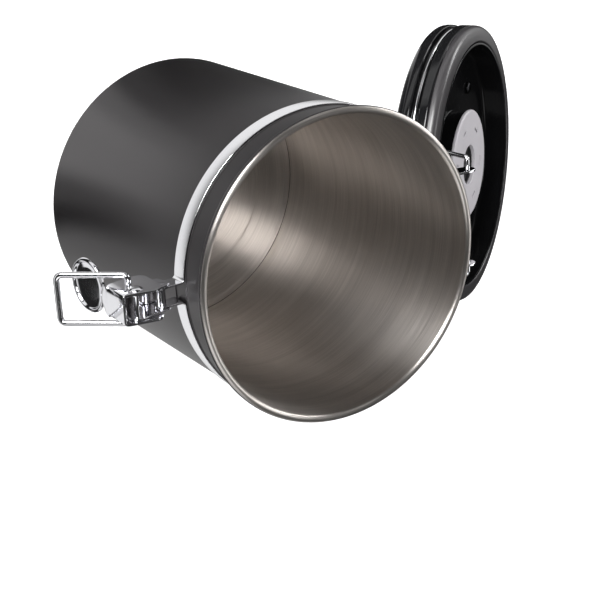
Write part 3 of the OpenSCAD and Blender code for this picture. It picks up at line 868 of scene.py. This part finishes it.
def lid_hoop():
    """Wire in the lid's groove, down to the hinge and in through the bracket's ears."""
    ring_r = GROOVE_R + WIRE_SEAT_R
    start = math.acos(HINGE_WIRE_X / ring_r)
    elbow_y = math.sqrt(LID_R ** 2 - HINGE_WIRE_X ** 2) + WIRE_SEAT_R + 0.4
    pivot = OPEN.inverted() @ Vector((0, HINGE.y, HINGE.z))
    stub = HINGE_WIRE_X - HINGE_EAR_IN - 2.0
    points = [
        Vector((stub, pivot.y, pivot.z)), Vector((HINGE_WIRE_X, pivot.y, pivot.z)),
        Vector((HINGE_WIRE_X, elbow_y, WIRE_H)), Vector((HINGE_WIRE_X, ring_r * math.sin(start), WIRE_H)),
    ]
    path = bent_path(points, 1.6, 6)
    turns = 160
    sweep = math.pi + 2 * start
    ring = []
    for k in range(1, turns):
        a = start - sweep * k / turns
        ring.append(Vector((ring_r * math.cos(a), ring_r * math.sin(a), WIRE_H)))
    other = [Vector((-p.x, p.y, p.z)) for p in reversed(path)]
    bm = tube(path + ring + other, WIRE_R, 20)
    lid_piece("lid_hoop", bm, WIRE, "chrome_wire", ["lid_wire"], weighted=False)


def catch_hook():
    """Strip hook at the front of the lid, bent up at its lip."""
    lip_s = LID_R + 5.5
    thick = 0.75
    low = GROOVE[0] + 0.01
    root, tip = GROOVE_R + 1.2, low + 3.15
    outline = rounded([(root, low, 0), (lip_s, low, 1.2), (lip_s, tip, 0.3), (lip_s - thick, tip, 0.3),
                       (lip_s - thick, low + thick, 0.7), (root, low + thick, 0)], 5)
    bm = plate(outline, -7, 7, side_space)
    lid_piece("catch_hook", bm, BRIGHT, "chrome_latch", ["lid_catch"], bevel_mm=0.15)


def ring_places(count, radius, first=0.0):
    out = []
    for k in range(count):
        a = first + 2 * math.pi * k / count
        out.append((a, Vector((radius * math.cos(a), radius * math.sin(a), 0))))
    return out


def cut(thing, cutters):
    """Cuts several scratch meshes out of a finished lid piece, and keeps its corners sharp."""
    bm = joined(*cutters)
    bmesh.ops.transform(bm, matrix=Matrix.Scale(MM, 4) @ OPEN, verts=bm.verts)
    mesh = bpy.data.meshes.new("cutter")
    bm.to_mesh(mesh)
    bm.free()
    tool = bpy.data.objects.new("cutter", mesh)
    bpy.context.scene.collection.objects.link(tool)
    thing.modifiers.clear()
    boolean = thing.modifiers.new("cut", "BOOLEAN")
    boolean.operation = "DIFFERENCE"
    boolean.solver = "EXACT"
    boolean.use_self = True
    boolean.object = tool
    graph = bpy.context.evaluated_depsgraph_get()
    done = bpy.data.meshes.new_from_object(thing.evaluated_get(graph))
    thing.modifiers.clear()
    done.set_sharp_from_angle(angle=math.radians(35))
    thing.data = done
    bpy.data.objects.remove(tool)


def block(x_size, y_size, z_low, z_high):
    bm = bmesh.new()
    bmesh.ops.create_cube(bm, size=1)
    return moved(bm, Matrix.Translation((0, 0, (z_low + z_high) / 2))
                 @ Matrix.Diagonal((x_size, y_size, z_high - z_low, 1)))


def screws():
    """Pan-head screws with a cross recess, in the floor of the hollow, their steel painted near black as painted
    shade of the hollow.
    """
    parts, crosses = [], []
    for a, at in ring_places(4, SCREW_RING, math.pi / 4):
        place = Matrix.Translation(at) @ Matrix.Rotation(a + 0.4, 4, "Z")
        low = HOLLOW - 0.5
        outline = rounded([(0, low - 1.15, 0), (1.7, low - 1.0, 0.6), (2.7, low - 0.45, 0.5), (2.8, low, 0.1),
                           (1.15, low, 0), (1.15, DECK[0], 0), (0, DECK[0], 0)])
        parts.append(moved(lathe(outline, 40), place))
        for turn in (0, math.pi / 2):
            crosses.append(moved(block(2.6, 0.55, low - 2, low - 0.35), place @ Matrix.Rotation(turn, 4, "Z")))
    thing = lid_piece("cover_screws", joined(*parts), SCREW_PAINTED_SHADE, "screw_steel", ["liner_screws"])
    cut(thing, crosses)


def arc_block(radius, width, start, end, z_low, z_high, steps=8):
    """Curved bar between two angles."""
    bm = bmesh.new()
    rows = []
    for k in range(steps + 1):
        a = start + (end - start) * k / steps
        row = []
        for r, z in ((radius, z_low), (radius + width, z_low), (radius + width, z_high), (radius, z_high)):
            row.append(bm.verts.new((r * math.cos(a), r * math.sin(a), z)))
        rows.append(row)
    for low, high in zip(rows, rows[1:]):
        for k in range(4):
            n = (k + 1) % 4
            bm.faces.new([low[k], low[n], high[n], high[k]])
    bm.faces.new(rows[0])
    bm.faces.new(rows[-1])
    bmesh.ops.recalc_face_normals(bm, faces=bm.faces)
    return bm


def valve():
    """Pale cover disc with its arc slots, the black seat with its vents, and the soft flap."""
    low, high = VALVE_Z
    face = rounded([(VALVE_HOLE, low + 0.1, 0.25), (VALVE_HOLE + 0.3, low, 0.2), (VALVE_R - 0.8, low, 0.4),
                    (VALVE_R, low + 0.5, 0.4), (VALVE_R, high, 0.2), (VALVE_HOLE, high, 0)], 4)
    disc = lid_piece("valve_disc", lathe(face), GREY, "valve_grey", ["valve_cover"])
    slots = []
    for k in range(6):
        start = math.radians(30 + 60 * k)
        slots.append(arc_block(16.8, 1.4, start, start + math.radians(15), low - 1, low + 1.1))
    cut(disc, slots)
    plug_r = in_lid("valve_seat")[1]
    floor = high + 2.2
    seat = rounded([(0, floor, 0), (7.4, floor, 0.2), (8.6, floor - 0.5, 0.3), (8.6, high, 0.3),
                    (plug_r, high, 0),
                    (plug_r, HOLLOW - 0.05, 0.2), (plug_r - 2, HOLLOW - 0.05, 0), (plug_r - 2, floor + 1.6, 0),
                    (0, floor + 1.6, 0)])
    body = lid_piece("valve_body", lathe(seat, 96), DARK, "valve_black", ["valve_seat"])
    vent = rounded([(0, floor - 1, 0), (1, floor - 1, 0), (1, floor + 3, 0), (0, floor + 3, 0)])
    cut(body, [moved(lathe(vent, 24), Matrix.Translation(at)) for _, at in ring_places(6, 4.6)])
    flap = rounded([(0, floor - 1.0, 0), (1.6, floor - 1.0, 0.5), (2.2, floor - 0.8, 0.4),
                    (7.6, floor - 0.3, 0.3), (7.6, floor - 0.06, 0.1), (0.95, floor - 0.06, 0),
                    (0.95, floor + 2.3, 0.2), (0, floor + 2.3, 0)])
    lid_piece("soft_flap", lathe(flap, 64), FLAP, "flap_rubber", ["valve_flap"])
    r_in, r_out, z_low, z_high = in_lid("valve_filter")
    pad = rounded([(r_in, z_low, 0.3), (r_out, z_low, 0.3), (r_out, z_high, 0.3), (r_in, z_high, 0.3)])
    lid_piece("filter_pad", lathe(pad, 96), FELT, "filter_pad", ["valve_filter"])


def figure(text, size, at, turn, depth):
    """A flat number, its top pointing out from the dial's centre, as a bmesh in mm."""
    curve = bpy.data.curves.new("figure", "FONT")
    curve.body = text
    curve.size = size
    curve.align_x = "CENTER"
    curve.align_y = "CENTER"
    curve.extrude = depth
    thing = bpy.data.objects.new("figure", curve)
    bpy.context.scene.collection.objects.link(thing)
    graph = bpy.context.evaluated_depsgraph_get()
    mesh = bpy.data.meshes.new_from_object(thing.evaluated_get(graph))
    bm = bmesh.new()
    bm.from_mesh(mesh)
    bpy.data.objects.remove(thing)
    bpy.data.meshes.remove(mesh)
    return moved(bm, Matrix.Translation(at) @ Matrix.Rotation(turn, 4, "Z"))


def numbers(name, count, radius, size, body):
    """A ring of plain numbers printed on a dial."""
    parts = []
    top = DIAL_Z[1] - 0.02
    for k in range(count):
        a = math.pi / 2 - 2 * math.pi * k / count
        at = Vector((radius * math.cos(a), radius * math.sin(a), top))
        parts.append(figure(str(k + 1), size, at, a - math.pi / 2, 0.04))
    return lid_piece(name, joined(*parts), PRINT, "dial_black", body=body, weighted=False)


def grip_dimples(radius, width, count):
    """Cutters for the shallow finger dimples round a dial."""
    bowl = rounded([(0, 0, 0), (width * 0.6, 0.12, 0), (width, 0.9, 0), (width, 3, 0), (0, 3, 0)])
    lift = Vector((0, 0, DIAL_Z[1] - 0.75))
    places = ring_places(count, radius, math.pi / 2)
    return [moved(lathe(bowl, 24), Matrix.Translation(at + lift)) for _, at in places]


def dials():
    """Two turning number rings and the fixed cap that holds them."""
    low, high = DIAL_Z
    step = (low + high) / 2
    lap, gap = 1.6, 0.3
    day = rounded([
        (MONTH_R + gap - lap, low, 0), (DIAL_R, low, 0.2), (DIAL_R, high, 0.35), (MONTH_R + gap, high, 0.25),
        (MONTH_R + gap, step - 0.15, 0), (MONTH_R + gap - lap, step - 0.15, 0)])
    thing = lid_piece("day_ring", lathe(day), DIAL, "dial_black", ["day_dial"], body="day_wheel")
    cut(thing, grip_dimples(DIAL_R - 2.6, 1.5, 31))
    numbers("day_numbers", 31, (DIAL_R + MONTH_R) / 2 - 0.4, 4.6, "day_wheel")
    month = rounded([
        (CAP_R + gap - lap, low, 0), (MONTH_R - lap, low, 0), (MONTH_R - lap, step + 0.15, 0),
        (MONTH_R, step + 0.15, 0), (MONTH_R, high, 0.3), (CAP_R + gap, high, 0.3),
        (CAP_R + gap, step - 0.15, 0), (CAP_R + gap - lap, step - 0.15, 0)])
    thing = lid_piece("month_ring", lathe(month), DIAL, "dial_black", ["month_dial"], body="month_wheel")
    cut(thing, grip_dimples(MONTH_R - 2.4, 1.4, 12))
    numbers("month_numbers", 12, (MONTH_R + CAP_R) / 2 - 0.3, 6.0, "month_wheel")
    cap = rounded([
        (1.5, DECK[1], 0), (CAP_R - lap, DECK[1], 0), (CAP_R - lap, step + 0.15, 0), (CAP_R, step + 0.15, 0.1),
        (CAP_R, high, 0.5), (CAP_R - 3, high - 0.1, 0.6), (CAP_R - 4.5, high - 0.5, 0.8),
        (3.0, high - 0.5, 0.3), (1.5, high - 0.8, 0.3)])
    lid_piece("centre_cap", lathe(cap), GLOSS, "lid_gloss_black", ["dial_cap"])


# ---------------------------------------------------------------- camera, floor and light

CAMERA_AT = Vector((-0.1942, -0.3004, 0.5834))
CAMERA_FORWARD = Vector((0.356523, 0.494269, -0.792837))
CAMERA_UP = Vector((-0.933243, 0.228496, -0.277213))
CAMERA_LENS = 90.63


def camera():
    """Looks down into the can, rolled so that the can lies on its side in the picture."""
    data = bpy.data.cameras.new("camera")
    data.lens = CAMERA_LENS
    data.sensor_width = 36
    data.clip_start = 0.01
    data.clip_end = 20
    thing = bpy.data.objects.new("camera", data)
    back = -CAMERA_FORWARD.normalized()
    right = CAMERA_UP.cross(back).normalized()
    up = back.cross(right)
    thing.matrix_world = Matrix.Translation(CAMERA_AT) @ Matrix((right, up, back)).transposed().to_4x4()
    bpy.context.scene.collection.objects.link(thing)
    bpy.context.scene.camera = thing


def ray_kind(tree):
    """Two flags: 1 for camera and transmission rays, and 1 for glossy rays."""
    path = add(tree, "ShaderNodeLightPath")
    seen = math_node(tree, "MAXIMUM", path.outputs["Is Camera Ray"], path.outputs["Is Transmission Ray"])
    return seen, path.outputs["Is Glossy Ray"]


def smooth_step(tree, value, start, end, low, high):
    node = add(tree, "ShaderNodeMapRange", interpolation_type="SMOOTHSTEP")
    for socket, number in zip(node.inputs[1:], (start, end, low, high)):
        socket.default_value = number
    tree.links.new(value, node.inputs["Value"])
    return node.outputs["Result"]


def mixed(tree, factor, a, b):
    """a where the factor is 0 and b where it is 1."""
    node = add(tree, "ShaderNodeMix", data_type="FLOAT")
    for socket, value in zip((node.inputs["Factor"], node.inputs["A"], node.inputs["B"]), (factor, a, b)):
        if isinstance(value, (int, float)):
            socket.default_value = value
        else:
            tree.links.new(value, socket)
    return node.outputs["Result"]


def azimuth_ramp(tree, angle, stops):
    """Brightness by angle about the can's axis, from (degrees, value) stops between -180 and 180."""
    node = add(tree, "ShaderNodeValToRGB")
    node.color_ramp.interpolation = "EASE"
    turn = math_node(tree, "ADD", times(tree, angle, 1 / (2 * math.pi)), 0.5)
    tree.links.new(turn, node.inputs["Fac"])
    marks = node.color_ramp.elements
    while len(marks) < len(stops):
        marks.new(0.5)
    for mark, (degrees, _) in zip(marks, stops):
        mark.position = degrees / 360 + 0.5
    for mark, (_, value) in zip(marks, stops):
        mark.color = (value, value, value, 1)
    return node.outputs["Color"]


# What the floor and the sky show to reflections. Radii are from the can's axis, in metres.
NEAR_GLOW = [(-180, 0.03), (-160, 0.14), (-148, 0.60), (-136, 1.0), (-116, 1.0), (-103, 0.28), (-91, 0.03),
             (-78, 0.50), (-50, 0.70), (0, 0.70), (60, 0.70), (110, 0.4), (140, 0.08), (180, 0.03)]
NEAR_R = (0.108, 0.120)
SHEET_GLOW = 0.92
SHEET_R = (0.131, 0.139)
LATCH_SHEET_R = 0.032
LATCH_SIDE = math.radians(65)
ROOM_GLOW = 0.80
ROOM_FLOOR_R = (0.225, 0.275)
LID_SIDE = math.radians(58)
FLOOR_GLOW = 0.72
FLOOR_PALE = 0.80
MIRRORED_PALE = 0.25
FAR_SIDE = math.radians(54)
DARK_SKY = 0.02
PLAIN_SKY = 0.35


def floor():
    """Pale floor, white to the camera. In reflections it is a white sheet in a dark ring, then a pale room."""
    made, tree, shader = new_material("floor_white")
    shader.inputs["Roughness"].default_value = 0.9
    shader.inputs["Specular IOR Level"].default_value = 0.0
    shader.inputs["Emission Color"].default_value = (1, 1, 1, 1)
    seen, glossy = ray_kind(tree)
    radius, angle, _ = round_axis(tree, place_of(tree))
    toward_latch = math_node(tree, "COSINE", math_node(tree, "ADD", angle, LATCH_SIDE))
    wider = smooth_step(tree, toward_latch, 0.982, 0.992, 0.0, LATCH_SHEET_R)
    sheet = smooth_step(tree, math_node(tree, "SUBTRACT", radius, wider), *SHEET_R, 1.0, 0.02)
    far = smooth_step(tree, radius, *NEAR_R, 0.0, 1.0)
    near = azimuth_ramp(tree, angle, NEAR_GLOW)
    sheet = times(tree, sheet, mixed(tree, far, near, SHEET_GLOW))
    behind = math_node(tree, "COSINE", math_node(tree, "SUBTRACT", angle, LID_SIDE))
    around = times(tree, smooth_step(tree, radius, *ROOM_FLOOR_R, 0.0, ROOM_GLOW),
                   smooth_step(tree, behind, 0.78, 0.85, 1.0, 0.0))
    mirrored = math_node(tree, "MAXIMUM", sheet, around)
    glow = times(tree, mixed(tree, glossy, seen, mirrored), FLOOR_GLOW)
    tree.links.new(glow, shader.inputs["Emission Strength"])
    pale = mixed(tree, glossy, FLOOR_PALE, times(tree, mirrored, MIRRORED_PALE))
    tree.links.new(combined(tree, pale, pale, pale), shader.inputs["Base Color"])
    bm = bmesh.new()
    bmesh.ops.create_grid(bm, x_segments=1, y_segments=1, size=6)
    mesh = bpy.data.meshes.new("floor")
    bm.to_mesh(mesh)
    bm.free()
    mesh.materials.append(made)
    thing = bpy.data.objects.new("floor", mesh)
    bpy.context.scene.collection.objects.link(thing)


def world():
    """White to the camera. In reflections, white overhead, dark at the horizon, the far side and in front."""
    made = bpy.data.worlds.new("studio")
    made.use_nodes = True
    tree = made.node_tree
    background = tree.nodes["Background"]
    background.inputs["Color"].default_value = (1, 1, 1, 1)
    seen, glossy = ray_kind(tree)
    way = add(tree, "ShaderNodeTexCoord").outputs["Generated"]
    _, angle, height = round_axis(tree, way)
    toward = add(tree, "ShaderNodeVectorMath", operation="DOT_PRODUCT")
    tree.links.new(way, toward.inputs[0])
    toward.inputs[1].default_value = -CAMERA_FORWARD
    room = smooth_step(tree, toward.outputs["Value"], 0.50, 0.68, 1.0, 0.02)
    overhead = smooth_step(tree, height, 0.30, 0.45, 0.0, 1.0)
    far_side = math_node(tree, "COSINE", math_node(tree, "SUBTRACT", angle, FAR_SIDE))
    near_side = smooth_step(tree, far_side, -0.35, 0.35, 1.0, 0.04)
    lit = times(tree, times(tree, overhead, near_side), room)
    sky = math_node(tree, "ADD", lit, DARK_SKY)
    plain = mixed(tree, seen, PLAIN_SKY, 1.0)
    tree.links.new(mixed(tree, glossy, plain, sky), background.inputs["Strength"])
    bpy.context.scene.world = made


def soft_light(name, at, aim, size, watts):
    data = bpy.data.lights.new(name, "AREA")
    data.shape = "RECTANGLE"
    data.size, data.size_y = size
    data.energy = watts
    thing = bpy.data.objects.new(name, data)
    thing.location = at
    thing.rotation_euler = (Vector(aim) - Vector(at)).to_track_quat("-Z", "Y").to_euler()
    bpy.context.scene.collection.objects.link(thing)


def lights():
    target = (0, 0, 0.08)
    soft_light("key", (-0.9, -0.72, 0.55), target, (0.6, 0.6), 18)
    soft_light("fill", (0.9, -0.5, 0.8), target, (0.9, 0.9), 3)
    soft_light("back", (0.1, 1.1, 0.9), target, (0.9, 0.5), 4)
    soft_light("low_back", (-0.45, 1.05, 0.22), target, (0.7, 0.25), 4)
    soft_light("mouth", (-0.42, -0.50, 0.97), target, (0.35, 0.35), 4)


can_wall()
can_lining()
can_floor()
neck_band()
back_bracket()
latch_pin_piece()
link_channel()
lever_rivet_piece()
lever()
bail()
lid_shell()
lid_underside()
sealing_ring()
lid_hoop()
catch_hook()
screws()
valve()
dials()
camera()
floor()
world()
lights()
bpy.context.scene.view_settings.view_transform = "Standard"
